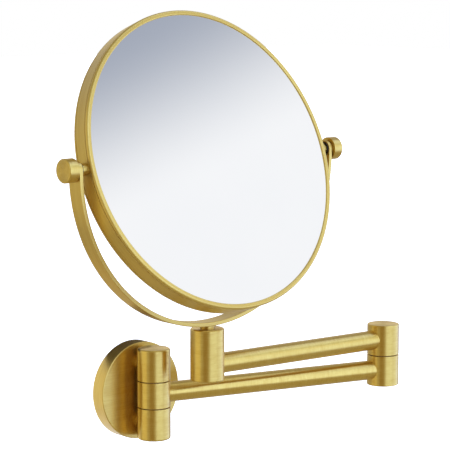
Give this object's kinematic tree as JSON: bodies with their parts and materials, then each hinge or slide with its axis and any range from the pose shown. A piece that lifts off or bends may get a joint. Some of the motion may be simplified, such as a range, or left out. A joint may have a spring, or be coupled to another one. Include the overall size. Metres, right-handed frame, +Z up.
{
  "type": "extendable shaving mirror",
  "caption": "Wall-mounted round two-sided mirror that tilts in a half-round yoke on a folding double swing arm, in satin brass.",
  "frame": {"origin": "centre of the round wall cover, on the wall face", "axes": "+Y into the wall (the mirror stands off towards -Y), +X to the right seen from the room, +Z up"},
  "size_m": [0.2805, 0.0973, 0.2849],
  "materials": {
    "satin_brass": "satin brushed, lacquered",
    "mirror_glass": "silvered float glass",
    "screw_steel": "stainless",
    "spring_steel": "spring temper",
    "nylon": "dark self-lubricating nylon",
    "zinc_bracket": "bright zinc plate",
    "core_plastic": "moulded black ABS",
    "backing_board": "hardboard"
  },
  "bodies": {
    "wall_mount": {"wall_bracket": "zinc_bracket", "wall_cover": "satin_brass", "cover_grub_screw": "screw_steel", "neck_screws": "screw_steel", "upper_neck": "satin_brass", "lower_neck": "satin_brass", "post_top_knuckle": "satin_brass", "post_bottom_knuckle": "satin_brass", "post_pivot_screw": "screw_steel", "post_spring_washer": "spring_steel"},
    "lower_arm": {"post_middle_knuckle": "satin_brass", "post_upper_bush": "nylon", "post_lower_bush": "nylon", "lower_arm_tube": "satin_brass", "elbow_lower_knuckle": "satin_brass", "elbow_upper_bush": "nylon", "elbow_lower_bush": "nylon"},
    "upper_arm": {"elbow_upper_knuckle": "satin_brass", "elbow_pivot_screw": "screw_steel", "elbow_spring_washer": "spring_steel", "upper_arm_tube": "satin_brass", "yoke_socket": "satin_brass"},
    "yoke": {"yoke_band": "satin_brass", "yoke_stem": "satin_brass", "band_screw": "screw_steel", "stem_screw": "screw_steel", "stem_thrust_washer": "nylon", "stem_spring_washer": "spring_steel"},
    "mirror": {"mirror_shell": "satin_brass", "front_bezel": "satin_brass", "rear_bezel": "satin_brass", "plain_glass": "mirror_glass", "magnifying_glass": "mirror_glass", "core_ring": "core_plastic", "glass_backing": "backing_board", "left_trunnion": "satin_brass", "right_trunnion": "satin_brass", "left_tilt_washer": "nylon", "right_tilt_washer": "nylon"},
    "left_clamp": {"left_knob": "satin_brass", "left_knob_stud": "screw_steel"},
    "right_clamp": {"right_knob": "satin_brass", "right_knob_stud": "screw_steel"}
  },
  "joints": [
    {"name": "wall_swing", "type": "hinge", "parent": "wall_mount", "child": "lower_arm", "pos_m": [0, -0.0238, 0], "axis": [0, 0, 1], "range_deg": [-118, 14.5]},
    {"name": "elbow_fold", "type": "hinge", "parent": "lower_arm", "child": "upper_arm", "pos_m": [0.17185, -0.06824, 0], "axis": [0, 0, 1], "range_deg": [-10, 200]},
    {"name": "yoke_swivel", "type": "hinge", "parent": "upper_arm", "child": "yoke", "pos_m": [0.01882, -0.0562, 0.0215], "axis": [0, 0, 1], "continuous": true},
    {"name": "mirror_tilt", "type": "hinge", "parent": "yoke", "child": "mirror", "pos_m": [0.01882, -0.0562, 0.15715], "axis": [1, 0, 0], "continuous": true},
    {"name": "left_knob_turn", "type": "hinge", "parent": "mirror", "child": "left_clamp", "pos_m": [-0.09118, -0.0562, 0.15715], "axis": [-1, 0, 0], "range_deg": [0, 180]},
    {"name": "right_knob_turn", "type": "hinge", "parent": "mirror", "child": "right_clamp", "pos_m": [0.12882, -0.0562, 0.15715], "axis": [1, 0, 0], "range_deg": [0, 180]}
  ]
}
